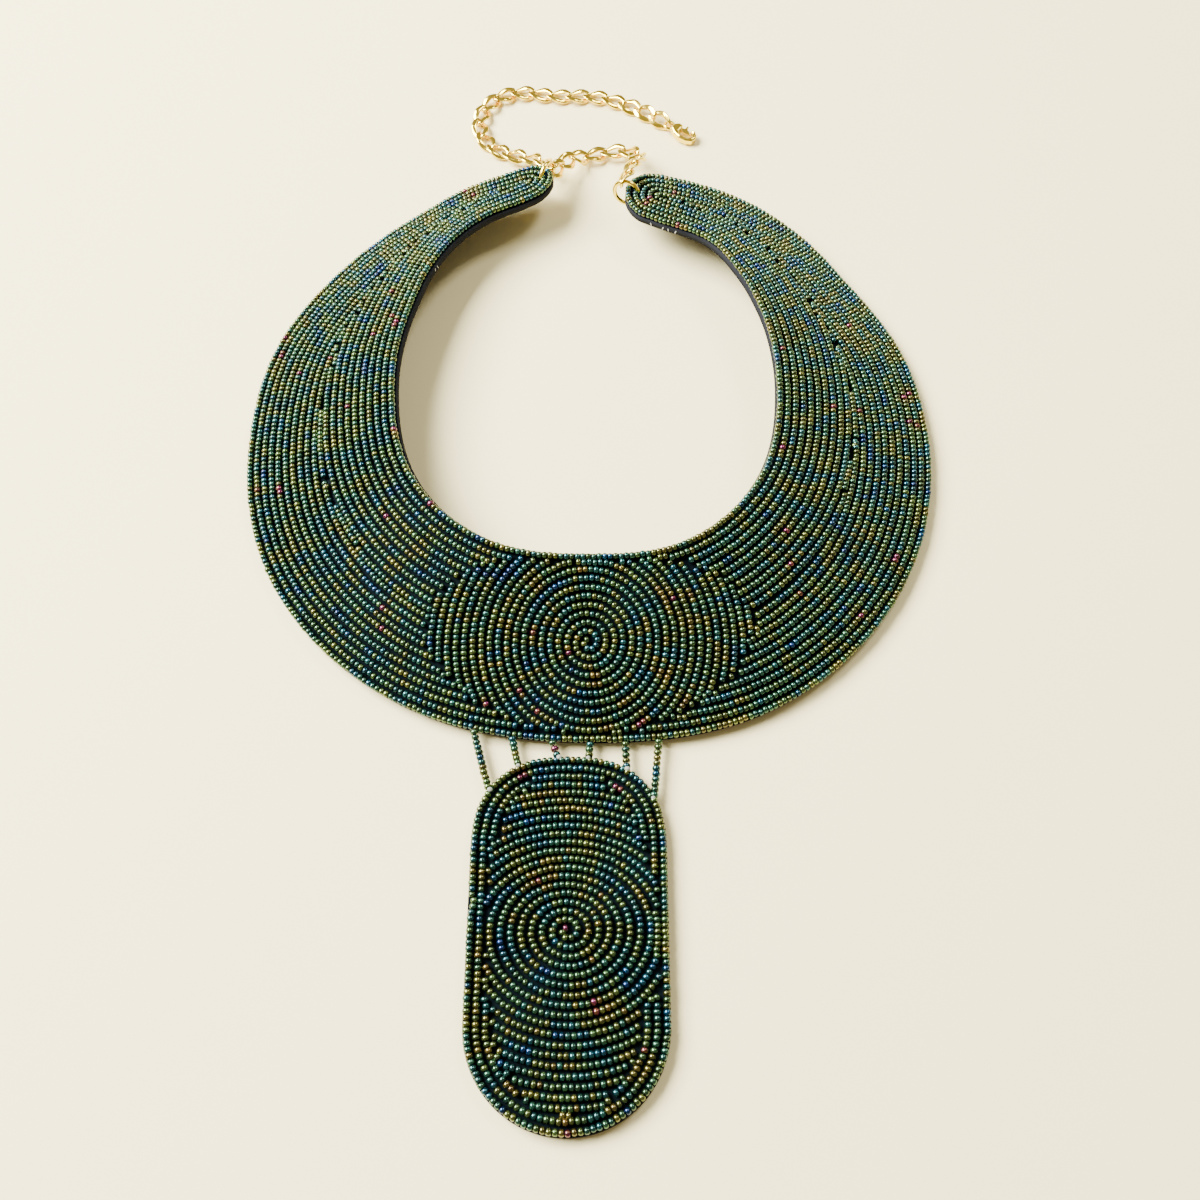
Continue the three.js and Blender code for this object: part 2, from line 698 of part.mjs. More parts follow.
function claspLever() {
  return outlinePlate(leverOutline, leverThickness, 0)
    .subtract(pinCylinder(pinRadius + hingeClearance, 2 * leverThickness));
}

// The clasp carries on the way the chain goes, with the last link's wire through its eye. The link stands on
// edge and holds the eye up a little, and the nose rests on the table.
const lastJoint = freeJoints[freeLinks];
const claspEye = lastJoint.clone().setZ(lastJoint.z - claspEyeDrop);
const claspWay = lastJoint.clone().sub(freeJoints[freeLinks - 1]).setZ(0).setLength(claspLength);
claspWay.setZ(claspThickness / 2 - claspEye.z).normalize();
const claspSide = new THREE.Vector3(0, 0, 1).cross(claspWay).normalize();
const claspUp = new THREE.Vector3().crossVectors(claspWay, claspSide);
claspEye.addScaledVector(claspWay, claspEyeRadius - (claspEyeRim + linkSlack) / 2);
const claspPlace = new THREE.Matrix4().makeBasis(claspWay, claspSide, claspUp).setPosition(claspEye);
addMesh('clasp_body', toGeometry(claspBody()).applyMatrix4(claspPlace), materials.gold);
addMesh('clasp_lever', toGeometry(claspLever()).applyMatrix4(claspPlace), materials.gold);

// The part stands with the middle of its box at the origin and its underside at z = 0.
const box = new THREE.Box3().setFromObject(group, true);
const centre = box.getCenter(new THREE.Vector3());
group.position.set(-centre.x, -centre.y, -box.min.z);
group.updateMatrixWorld(true);

export default group;
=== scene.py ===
from math import pi, radians

import bmesh
import bpy
import numpy as np
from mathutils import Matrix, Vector, noise
from mathutils.kdtree import KDTree


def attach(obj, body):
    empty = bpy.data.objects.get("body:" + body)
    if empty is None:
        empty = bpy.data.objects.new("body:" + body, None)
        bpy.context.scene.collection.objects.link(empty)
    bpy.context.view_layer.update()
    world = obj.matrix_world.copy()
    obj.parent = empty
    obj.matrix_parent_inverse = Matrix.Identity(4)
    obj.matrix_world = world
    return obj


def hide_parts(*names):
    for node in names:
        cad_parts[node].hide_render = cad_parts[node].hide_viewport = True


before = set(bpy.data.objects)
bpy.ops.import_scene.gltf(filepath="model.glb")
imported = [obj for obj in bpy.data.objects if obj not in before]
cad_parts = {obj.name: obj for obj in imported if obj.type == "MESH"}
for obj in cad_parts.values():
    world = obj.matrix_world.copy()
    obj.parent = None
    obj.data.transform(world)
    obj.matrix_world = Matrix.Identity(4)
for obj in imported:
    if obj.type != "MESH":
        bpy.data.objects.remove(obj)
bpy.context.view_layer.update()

MM = 0.001
rng = np.random.default_rng(41)

# The collar's form, as in the solids, in millimetres from the middle of the neck opening. turn is the angle
# from the front in degrees, and the rest are shares of the four sizes below.
NECK_RADIUS, BAND_WIDTH, NECK_RISE, TIP_LIFT = 66, 57, 18, 9
SECTIONS = np.array([
    # turn, neck, band, rise, lift
    (-173, 1.64, 0.33, 0.70, 1.00),
    (-165, 1.55, 0.38, 0.76, 0.90),
    (-157, 1.50, 0.42, 0.82, 0.70),
    (-148, 1.42, 0.49, 0.88, 0.42),
    (-138, 1.31, 0.62, 0.95, 0.17),
    (-125, 1.18, 0.775, 0.98, 0.03),
    (-108, 1.075, 0.91, 1.00, 0.00),
    (-90, 1.01, 0.965, 1.00, 0.00),
    (-60, 0.98, 1.025, 1.02, 0.00),
    (-30, 0.945, 1.035, 1.06, 0.00),
    (0, 0.895, 1.035, 1.08, 0.00),
    (30, 0.95, 1.055, 1.06, 0.00),
    (60, 0.975, 1.045, 1.02, 0.00),
    (90, 1.00, 0.99, 1.00, 0.00),
    (108, 1.06, 0.915, 1.00, 0.00),
    (125, 1.16, 0.78, 0.98, 0.03),
    (138, 1.265, 0.71, 0.95, 0.17),
    (150, 1.375, 0.595, 0.86, 0.48),
    (162, 1.41, 0.52, 0.78, 0.82),
    (172.5, 1.48, 0.42, 0.70, 1.00),
])
TIP_ROUNDING = 10
# On the right the neck-side rows hang over the leather: by how much, at which turn, and how widely.
OVERHANG, OVERHANG_TURN, OVERHANG_SPREAD = 1.3, 120, 48
LEATHER = 2.4
BEAD_ACROSS = 2.2
BEAD_BOTTOM = LEATHER + 0.3
BEAD_MIDDLE = BEAD_BOTTOM + BEAD_ACROSS / 2
EDGE_INSET = 1.2
ROW_SPACING = 2.86
BEAD_PITCH = 1.8
# How near a bead may come to one that is there already: in whole rows, in spirals, and in the filled gaps.
ROW_ROOM, SPIRAL_ROOM, WING_GAP_ROOM, PLAQUE_GAP_ROOM = 2.0, 1.9, 1.82, 1.75
PLAQUE_SIZE = (61, 113)
PLAQUE_TOP_GAP = 5.9
TOP_SQUARENESS = 2.5
PLAQUE_SHIFT = -5.4
# From the middle of the neck opening to the frame's origin.
TO_FRAME = np.array([-0.379, 28.018, 0])


def section_value(column, turn):
    """A column of the sections at any turn, on a smooth curve through the rows."""
    turns, values = SECTIONS[:, 0], SECTIONS[:, column]
    before = np.concatenate([[0], np.arange(len(turns) - 1)])
    after = np.concatenate([np.arange(1, len(turns)), [len(turns) - 1]])
    slopes = (values[after] - values[before]) / (turns[after] - turns[before])
    i = np.clip(np.searchsorted(turns, turn, side="right") - 1, 0, len(turns) - 2)
    span = turns[i + 1] - turns[i]
    t = (turn - turns[i]) / span
    rest = 1 - t
    return (rest ** 2 * (1 + 2 * t) * values[i] + t * rest ** 2 * span * slopes[i]
            + t ** 2 * (3 - 2 * t) * values[i + 1] - t ** 2 * rest * span * slopes[i + 1])


def collar_sections(turn):
    """The middle of the leather's underside, the way to the rim's underside, and the upward normal."""
    turn = np.asarray(turn, float)
    angle = np.radians(turn)
    outwards = np.stack([np.sin(angle), -np.cos(angle), np.zeros_like(angle)], -1)
    up = np.array([0, 0, 1.0])
    neck = section_value(1, turn) * NECK_RADIUS
    band = section_value(2, turn) * BAND_WIDTH
    rise = section_value(3, turn) * NECK_RISE
    lift = np.maximum(section_value(4, turn), 0) * TIP_LIFT
    middle = outwards * (neck + band / 2)[..., None] + up * ((rise + lift) / 2)[..., None]
    to_rim = outwards * (band / 2)[..., None] + up * ((lift - rise) / 2)[..., None]
    tilt = np.arctan2(rise - lift, band)
    normal = outwards * np.sin(tilt)[..., None] + up * np.cos(tilt)[..., None]
    return middle, to_rim, normal


# The collar laid out flat: how far along its middle line, and half its width there, with rounded tips.
LAY_STEP = 0.25
fine_turns = np.linspace(SECTIONS[0, 0], SECTIONS[-1, 0], 6000)
fine_middle = collar_sections(fine_turns)[0]
fine_along = np.concatenate([[0], np.cumsum(np.linalg.norm(np.diff(fine_middle, axis=0), axis=1))])
along = np.arange(0, fine_along[-1], LAY_STEP)
along_turn = np.interp(along, fine_along, fine_turns)
from_end = np.minimum(along, fine_along[-1] - along)
rounding = np.sqrt(1 - (1 - np.minimum(from_end / TIP_ROUNDING, 1)) ** 2)
half_width = np.linalg.norm(collar_sections(along_turn)[1], axis=1) * rounding


def inset_half_width(inset):
    """Half the width that is left of the laid-out collar when its edge is taken in all round."""
    reach = int(inset / LAY_STEP)
    padded = np.pad(half_width, reach, constant_values=0)
    left = np.full(len(along), np.inf)
    for step in range(-reach, reach + 1):
        bite = np.sqrt(max(inset ** 2 - (step * LAY_STEP) ** 2, 0))
        left = np.minimum(left, padded[reach + step:reach + step + len(along)] - bite)
    return left


def on_band(turn, across, height):
    """A point at a signed distance across the band from its middle, towards the rim, and its normal."""
    middle, to_rim, normal = collar_sections(turn)
    unit = to_rim / np.linalg.norm(to_rim, axis=-1, keepdims=True)
    return middle + unit * np.asarray(across)[..., None] + normal * height, normal


def under_plan(x, y):
    """The collar's section under each place in plan, and how far out that is, from -1 to 1 at the rim."""
    middle, to_rim, normal = collar_sections(np.degrees(np.arctan2(x, -y)))
    flat = np.hypot(to_rim[:, 0], to_rim[:, 1])
    share = (np.hypot(x, y) - np.hypot(middle[:, 0], middle[:, 1])) / flat
    return middle, to_rim, normal, share


def evenly(points, normals, pitch, closed=False):
    """Places one pitch apart along a row, with its direction and normal there."""
    if closed:
        points = np.vstack([points, points[:1]])
        normals = np.vstack([normals, normals[:1]])
    distance = np.concatenate([[0], np.cumsum(np.linalg.norm(np.diff(points, axis=0), axis=1))])
    count = max(int(round(distance[-1] / pitch)), 1)
    at = np.arange(count) * distance[-1] / count if closed else np.arange(count + 1) * distance[-1] / count

    def sample(values, where):
        return np.stack([np.interp(where, distance, values[:, k]) for k in range(3)], 1)

    nudge = pitch * 0.35
    way = sample(points, np.minimum(at + nudge, distance[-1])) - sample(points, np.maximum(at - nudge, 0))
    return sample(points, at), way / np.linalg.norm(way, axis=1, keepdims=True), sample(normals, at)


def runs(keep):
    """The unbroken stretches of a list of yes and no, as slices."""
    edges = np.flatnonzero(np.diff(np.concatenate([[0], keep.astype(int), [0]])))
    return [slice(a, b) for a, b in zip(edges[::2], edges[1::2]) if b - a > 2]


def split_rows(rows, test):
    """The part of each row that passes a test on its places."""
    out = []
    for places, ways, normals in rows:
        keep = test(places)
        if keep.any():
            out.append((places[keep], ways[keep], normals[keep]))
    return out


def thin_out(rows, taken, room=ROW_ROOM):
    """Leaves out the beads that would run into one that is there already, and adds the rest to taken."""
    kept = []
    for places, ways, normals in rows:
        free = np.ones(len(places), bool)
        tree = KDTree(max(len(taken), 1))
        for i, point in enumerate(taken):
            tree.insert(point, i)
        tree.balance()
        own = KDTree(len(places))
        for i, point in enumerate(places):
            own.insert(point, i)
        own.balance()
        for i, point in enumerate(places):
            if taken and tree.find(point)[2] < room:
                free[i] = False
                continue
            near = [j for _, j, _ in own.find_range(point, room * 0.95)]
            if any(j < i and min(i - j, len(places) - i + j) > 3 and free[j] for j in near):
                free[i] = False
        taken.extend(places[free].tolist())
        kept.append((places[free], ways[free], normals[free]))
    return kept


# The medallion is a lens that follows the band a little, filled by a spiral of rows.
MEDALLION_MIDDLE = (0.6, -87.2)
MEDALLION_HALF = (53, 28)
MEDALLION_BEND = 0.0025
MEDALLION_OVERLAP = 3
MEDALLION_SPACING = 2.78
MEDALLION_REACH = 56
MEDALLION_TO_EDGE = 2.1


def in_medallion(x, y, margin=0.0):
    bent = y - MEDALLION_MIDDLE[1] - MEDALLION_BEND * x ** 2
    across = (x - MEDALLION_MIDDLE[0]) / (MEDALLION_HALF[0] + margin)
    deep = bent / (MEDALLION_HALF[1] + margin)
    return across ** 2 + deep ** 2 < 1


def collar_loop(inset):
    """One row that goes all round the band, as points and normals."""
    left = inset_half_width(inset)
    inside = np.flatnonzero(left > 0.15)
    a, b = inside[0], inside[-1]
    turn, across = along_turn[a:b + 1], np.maximum(left[a:b + 1], 0.1)
    here = np.exp(-((turn - OVERHANG_TURN) / OVERHANG_SPREAD) ** 2)
    overhang = OVERHANG * here * (across / np.maximum(half_width[a:b + 1], 1)) ** 2
    rim, rim_normal = on_band(turn, across, BEAD_MIDDLE)
    neck, neck_normal = on_band(turn, -across - overhang, BEAD_MIDDLE)
    return np.vstack([rim, neck[::-1]]), np.vstack([rim_normal, neck_normal[::-1]])


SPIRAL_START, SPIRAL_STEPS = 0.35, 160


def spiral(middle, spacing, radius, across=1.0, up=1.0):
    """A flat spiral's places in plan, stretched sideways and in its upper half."""
    turns = radius / spacing
    t = np.linspace(SPIRAL_START, turns, int(turns * SPIRAL_STEPS))
    x, y = spacing * t * np.cos(2 * pi * t), spacing * t * np.sin(2 * pi * t)
    return middle[0] + x * across, middle[1] + y * np.where(y > 0, up, 1)


def medallion_rows(taken):
    """The spiral inside the lens, clear of the edge rows."""
    x, y = spiral(MEDALLION_MIDDLE, MEDALLION_SPACING, MEDALLION_REACH)
    middle, to_rim, normals, share = under_plan(x, y)
    points = middle + to_rim * share[:, None] + normals * BEAD_MIDDLE
    most = 1 - (EDGE_INSET + MEDALLION_TO_EDGE) / np.linalg.norm(to_rim, axis=1)
    rows = [evenly(points[stretch], normals[stretch], BEAD_PITCH)
            for stretch in runs(in_medallion(x, y) & (np.abs(share) < most))]
    return thin_out(rows, taken, SPIRAL_ROOM)


def beside_medallion(points):
    return ~in_medallion(points[:, 0], points[:, 1], margin=-MEDALLION_OVERLAP)


def wing_loop(inset, whole_loops):
    """A row round the band, which stops at the medallion unless it is one of the whole loops by the edge."""
    places, ways, normals = evenly(*collar_loop(inset), BEAD_PITCH, closed=True)
    keep = (inset < EDGE_INSET + whole_loops * ROW_SPACING) | beside_medallion(places)
    return places[keep], ways[keep], normals[keep]


MIDDLE_ROW_FROM_TIP = 4
GAP_STEP = 0.6


def wing_rows(taken):
    """Loops one spacing apart, a row along the band's middle, and beads in the gaps that these leave."""
    rows = []
    inset = EDGE_INSET + ROW_SPACING
    while inset < half_width.max():
        rows.append(wing_loop(inset, whole_loops=2.5))
        inset += ROW_SPACING
    ends = int(MIDDLE_ROW_FROM_TIP / LAY_STEP)
    points, normals = on_band(along_turn[ends:-ends], np.zeros(len(along) - 2 * ends), BEAD_MIDDLE)
    for stretch in runs(beside_medallion(points)):
        rows.append(evenly(points[stretch], normals[stretch], BEAD_PITCH))
    rows = thin_out(rows, taken)
    insets = np.arange(EDGE_INSET + 2.0, half_width.max() - 0.5, GAP_STEP)
    return rows + thin_out([wing_loop(inset, whole_loops=1.5) for inset in insets], taken, WING_GAP_ROOM)


# The plaque, flat on the table.
front_rim = section_value(1, np.array(0.0)) * NECK_RADIUS + section_value(2, np.array(0.0)) * BAND_WIDTH
PLAQUE_RADIUS = PLAQUE_SIZE[0] / 2
PLAQUE_STRAIGHT = PLAQUE_SIZE[1] - PLAQUE_SIZE[0]
PLAQUE_TOP = -float(front_rim) - PLAQUE_TOP_GAP - PLAQUE_RADIUS
PLAQUE_MIDDLE = (PLAQUE_SHIFT, -179.4)
PLAQUE_SPACING = 2.82
PLAQUE_REACH = 62
PLAQUE_TO_EDGE = 2.2
# The small dent in the plaque's left edge: how deep, where along it, and how widely.
DENT, DENT_Y, DENT_SPREAD = 0.9, -171, 2.2
# The plaque's second row is missing on the right between these places, and the third keeps out of the middle.
SECOND_ROW_GAP = (-200, -163)
THIRD_ROW_GAP = (-200, -150)
THIRD_ROW_FROM_MIDDLE = 13


def plaque_end(radius, middle, side, power, steps=60):
    """An end of the plaque, anticlockwise, on a curve whose power is 2 for a half circle."""
    angle = np.radians(np.linspace(0, 180, steps))
    across = np.sign(np.cos(angle)) * np.abs(np.cos(angle)) ** (2 / power)
    return PLAQUE_SHIFT + side * radius * across, middle + side * radius * np.sin(angle) ** (2 / power)


def plaque_loop(inset):
    radius = PLAQUE_RADIUS - inset
    top = plaque_end(radius, PLAQUE_TOP, 1, TOP_SQUARENESS)
    bottom = plaque_end(radius, PLAQUE_TOP - PLAQUE_STRAIGHT, -1, 2)
    return np.concatenate([top[0], bottom[0]]), np.concatenate([top[1], bottom[1]])


def plaque_depth(x, y):
    """How far a place in plan is inside the plaque's edge."""
    power = np.where(y > PLAQUE_TOP, TOP_SQUARENESS, 2)
    below = np.clip(PLAQUE_TOP - y, 0, PLAQUE_STRAIGHT)
    out = np.abs(x - PLAQUE_SHIFT) ** power + np.abs(y - PLAQUE_TOP + below) ** power
    return PLAQUE_RADIUS - out ** (1 / power)


def flat_row(x, y):
    points = np.stack([x, y, np.full_like(x, BEAD_MIDDLE)], 1)
    return points, np.tile([0, 0, 1.0], (len(x), 1))


def rim_row(depth):
    """A row that follows the plaque's edge, a number of rows in from it."""
    return evenly(*flat_row(*plaque_loop(EDGE_INSET + depth * ROW_SPACING)), BEAD_PITCH, closed=True)


def plaque_edge_row():
    places, ways, normals = rim_row(0)
    dent = DENT * np.exp(-((places[:, 1] - DENT_Y) / DENT_SPREAD) ** 2)
    places[:, 0] += dent * (places[:, 0] < PLAQUE_SHIFT)
    return places, ways, normals


def outside(y, gap):
    return (y > gap[1]) | (y < gap[0])


def plaque_rows(taken):
    """Rim rows first, then the spiral, and then beads in the gaps that these leave."""
    second, third = rim_row(1), rim_row(2)
    rims = split_rows([second], lambda p: (p[:, 0] < PLAQUE_SHIFT) | outside(p[:, 1], SECOND_ROW_GAP))
    rims += split_rows([third], lambda p: (np.abs(p[:, 0] - PLAQUE_SHIFT) > THIRD_ROW_FROM_MIDDLE)
                       & outside(p[:, 1], THIRD_ROW_GAP))
    rims = thin_out(rims, taken)
    x, y = spiral(PLAQUE_MIDDLE, PLAQUE_SPACING, PLAQUE_REACH, across=1.11, up=0.945)
    points, normals = flat_row(x, y)
    rows = [evenly(points[stretch], normals[stretch], BEAD_PITCH)
            for stretch in runs(plaque_depth(x, y) > EDGE_INSET + PLAQUE_TO_EDGE)]
    rows += [second, third, rim_row(3)]
    rows = rims + thin_out(rows, taken, SPIRAL_ROOM)
    return rows + thin_out([rim_row(depth) for depth in np.arange(0.8, 8, 0.2)], taken, PLAQUE_GAP_ROOM)


# Strands from the collar to the plaque.
STRANDS = [
    # turn on the collar, share of half the plaque's width across its top
    (-17.9, -0.86),
    (-11.8, -0.55),
    (-5.6, -0.12),
    (0.5, 0.21),
    (6, 0.62),
    (11.3, 0.91),
]


def strand_end(across):
    reach = PLAQUE_RADIUS - EDGE_INSET
    above = (1 - abs(across) ** TOP_SQUARENESS) ** (1 / TOP_SQUARENESS)
    return np.array([PLAQUE_SHIFT + reach * across, PLAQUE_TOP + reach * above, BEAD_MIDDLE])


STRAND_FROM_ROWS = 1.9
STRAND_SAG = 0.05
STRAND_STEPS = 40


def strand_row(collar_turn, across):
    """One strand's beads, from beside the collar's edge row to beside the plaque's, with a little sag."""
    middle, to_rim, normal = collar_sections(np.array(float(collar_turn)))
    start = middle + to_rim * (1 - EDGE_INSET / np.linalg.norm(to_rim)) + normal * BEAD_MIDDLE
    end = strand_end(across)
    length = np.linalg.norm(end - start)
    way = (end - start) / length
    start, end = start + way * STRAND_FROM_ROWS, end - way * STRAND_FROM_ROWS
    t = np.linspace(0, 1, STRAND_STEPS)[:, None]
    low = (start + end) / 2 - np.array([0, 0, STRAND_SAG * length])
    points = (1 - t) ** 2 * start + 2 * t * (1 - t) * low + t ** 2 * end
    return evenly(points, np.tile(normal, (STRAND_STEPS, 1)), BEAD_PITCH)


def as_mesh(name, bm, material, smooth=True):
    mesh = bpy.data.meshes.new(name)
    bm.to_mesh(mesh)
    bm.free()
    if smooth:
        mesh.shade_smooth()
    else:
        mesh.shade_flat()
    obj = bpy.data.objects.new(name, mesh)
    bpy.context.scene.collection.objects.link(obj)
    mesh.materials.append(material)
    return obj


# Materials
def srgb(red, green, blue):
    """A colour as a painter's values from 0 to 255, made linear."""
    parts = np.array([red, green, blue]) / 255
    linear = np.where(parts <= 0.04045, parts / 12.92, ((parts + 0.055) / 1.055) ** 2.4)
    return (*linear.tolist(), 1.0)


class Value:
    """A socket with arithmetic, so that shader maths reads as maths."""

    def __init__(self, shading, socket):
        self.shading, self.socket = shading, socket

    def math(self, operation, *others):
        return self.shading.node("ShaderNodeMath", {"operation": operation},
                                 {i: v for i, v in enumerate((self, *others))})

    def __add__(self, other):
        return self.math("ADD", other)

    def __mul__(self, other):
        return self.math("MULTIPLY", other)

    def __sub__(self, other):
        return self.math("SUBTRACT", other)

    def __rsub__(self, other):
        return self.math("MULTIPLY_ADD", -1, other)

    __radd__ = __add__
    __rmul__ = __mul__


class Shading:
    """One material's nodes."""

    def __init__(self, name, **constants):
        self.material = bpy.data.materials.new(name)
        self.material.use_nodes = True
        self.nodes, self.links = self.material.node_tree.nodes, self.material.node_tree.links
        self.surface = self.nodes["Principled BSDF"]
        for key, value in constants.items():
            self.surface.inputs[key.replace("_", " ")].default_value = value

    def node(self, kind, settings=None, inputs=None, output=0):
        made = self.nodes.new(kind)
        for key, value in (settings or {}).items():
            if key == "stops":
                ramp = made.color_ramp
                while len(ramp.elements) < len(value):
                    ramp.elements.new(1)
                for element, (position, colour) in zip(ramp.elements, value):
                    element.position, element.color = position, colour
            else:
                setattr(made, key, value)
        for key, value in (inputs or {}).items():
            if isinstance(value, Value):
                self.links.new(value.socket, made.inputs[key])
            else:
                made.inputs[key].default_value = value
        return Value(self, made.outputs[output])

    def place(self):
        return self.node("ShaderNodeTexCoord", output="Object")

    def noise(self, scale, detail=2.0, roughness=0.5):
        return self.node("ShaderNodeTexNoise", {}, {"Vector": self.place(), "Scale": scale,
                                                   "Detail": detail, "Roughness": roughness})

    def mix(self, factor, first, second, blend="MIX"):
        return self.node("ShaderNodeMix", {"data_type": "RGBA", "blend_type": blend},
                         {"Factor": factor, 6: first, 7: second}, output=2)

    def into(self, name, value):
        self.links.new(value.socket, self.surface.inputs[name])

    def bump(self, height, distance, strength):
        self.into("Normal", self.node("ShaderNodeBump", {}, {"Height": height, "Distance": distance,
                                                            "Strength": strength}))


# From the rare pink and copper beads over gold, olive and green to blue, by their share of all beads.
BEAD_COLOURS = [
    (0.00, srgb(126, 46, 86)),
    (0.004, srgb(120, 50, 70)),
    (0.009, srgb(116, 68, 42)),
    (0.022, srgb(110, 84, 40)),
    (0.06, srgb(106, 98, 40)),
    (0.20, srgb(92, 102, 46)),
    (0.38, srgb(74, 102, 54)),
    (0.54, srgb(58, 98, 64)),
    (0.70, srgb(44, 94, 76)),
    (0.88, srgb(32, 88, 88)),
    (0.96, srgb(22, 80, 98)),
    (0.99, srgb(14, 66, 106)),
    (1.00, srgb(14, 48, 98)),
]
DULLEST_BEAD = srgb(180, 180, 180)


def lustred_glass():
    """Glass with a metallic film. hue and depth are values of each bead, made with its mesh."""
    shading = Shading("lustred_glass", Metallic=0.9, IOR=1.5,
                      Coat_Weight=0.5, Coat_Roughness=0.1, Coat_IOR=1.5)
    hue = shading.node("ShaderNodeAttribute", {"attribute_name": "hue"}, output="Fac")
    depth = shading.node("ShaderNodeAttribute", {"attribute_name": "depth"}, output="Fac")
    film = shading.noise(900, detail=1.0)
    colour = shading.node("ShaderNodeValToRGB", {"stops": BEAD_COLOURS}, {"Fac": hue + (film - 0.5) * 0.07})
    dulling = shading.node("ShaderNodeValToRGB", {"stops": [(0, DULLEST_BEAD), (1, (1, 1, 1, 1))]},
                           {"Fac": depth})
    shading.into("Base Color", shading.mix(1.0, colour, dulling, blend="MULTIPLY"))
    shading.into("Roughness", film * 0.12 + 0.18)
    return shading.material


def worn_leather(name, dark, light):
    shading = Shading(name, Specular_IOR_Level=0.008)
    grain = shading.noise(1400, detail=4.0, roughness=0.6)
    wear = shading.noise(60, detail=3.0)
    shading.into("Base Color", shading.mix(wear, srgb(*dark), srgb(*light)))
    shading.into("Roughness", grain * 0.3 + 0.45)
    shading.bump(grain, 0.00015, 0.5)
    return shading.material


def polished_gold():
    shading = Shading("polished_gold", Metallic=1.0)
    wear = shading.noise(500, detail=3.0)
    shading.into("Base Color", shading.mix(wear, srgb(255, 230, 98), srgb(248, 213, 72)))
    shading.into("Roughness", wear * 0.12 + 0.12)
    shading.bump(shading.noise(1500, detail=2.0), 0.00003, 0.4)
    return shading.material


def thread(name, light, dark):
    shading = Shading(name, Specular_IOR_Level=0.4)
    strands = shading.noise(2600, detail=2.0)
    shading.into("Base Color", shading.mix(strands, srgb(*light), srgb(*dark)))
    shading.into("Roughness", strands * 0.2 + 0.4)
    shading.bump(strands, 0.00004, 0.5)
    return shading.material


glass = lustred_glass()
leather = worn_leather("dark_leather", (6, 12, 15), (11, 19, 23))
# The lighter grey of the leather's side faces is painted sheen, the light that the sides catch, on a copy of
# the dark leather.
leather_side_sheen = worn_leather("painted_sheen_leather_side", (24, 25, 28), (40, 41, 45))
white_thread = thread("white_thread", (206, 206, 200), (160, 160, 154))
clear_thread = thread("clear_thread", (150, 152, 136), (96, 102, 92))
gold = polished_gold()


# Beads
BEAD_PROFILE = [
    # along the hole, out from its middle
    (-0.86, 0.5),
    (-0.70, 0.99),
    (-0.26, 1.2),
    (0.26, 1.2),
    (0.70, 0.99),
    (0.86, 0.5),
]


def bead_form():
    """One round bead with its hole along X, as corners and faces."""
    bm = bmesh.new()
    verts = [bm.verts.new((x, 0, r)) for x, r in BEAD_PROFILE]
    edges = [bm.edges.new((verts[i], verts[(i + 1) % len(verts)])) for i in range(len(verts))]
    bmesh.ops.spin(bm, geom=verts + edges, cent=(0, 0, 0), axis=(1, 0, 0), angle=2 * pi, steps=8,
                   use_merge=True)
    bmesh.ops.recalc_face_normals(bm, faces=bm.faces)
    corners = np.array([v.co[:] for v in bm.verts])
    faces = np.array([[v.index for v in f.verts] for f in bm.faces])
    bm.free()
    return corners, faces


bead_corners, bead_faces = bead_form()

# How much colours keep together: beads like the one before, and the widths and strength of patches.
LIKE_THE_LAST = 0.25
WIDE_PATCH, SMALL_PATCH, PATCH_STRENGTH = 7, 3, 0.75
RARE_BEADS = 0.008
# How uneven the beads are: spreads of their direction and side shift, and the least and most of the rest.
BEAD_SWAY, BEAD_SHIFT = 0.07, 0.07
BEAD_LIFT = (-0.1, 0.04)
BEAD_ROUND = (0.93, 1.04)
BEAD_LONG = (0.92, 1.04)


def patch_value(place):
    place = Vector(place)
    return noise.noise(place / WIDE_PATCH) + 0.5 * noise.noise(place / SMALL_PATCH + Vector((40, 0, 0)))


def bead_hues(places, cooler):
    """Evenly shared colours, alike in patches and short runs. cooler moves all but the rare ones."""
    count = len(places)
    own = rng.random(count)
    same = rng.random(count) < LIKE_THE_LAST
    for i in range(1, count):
        if same[i]:
            own[i] = own[i - 1]
    patch = np.array([patch_value(place) for place in places])
    order = np.argsort(np.argsort(own + PATCH_STRENGTH * patch + rng.normal(0, 0.02, count)))
    share = (order + 0.5) / count
    return np.where(share > RARE_BEADS, share + cooler * (1 - share), share)


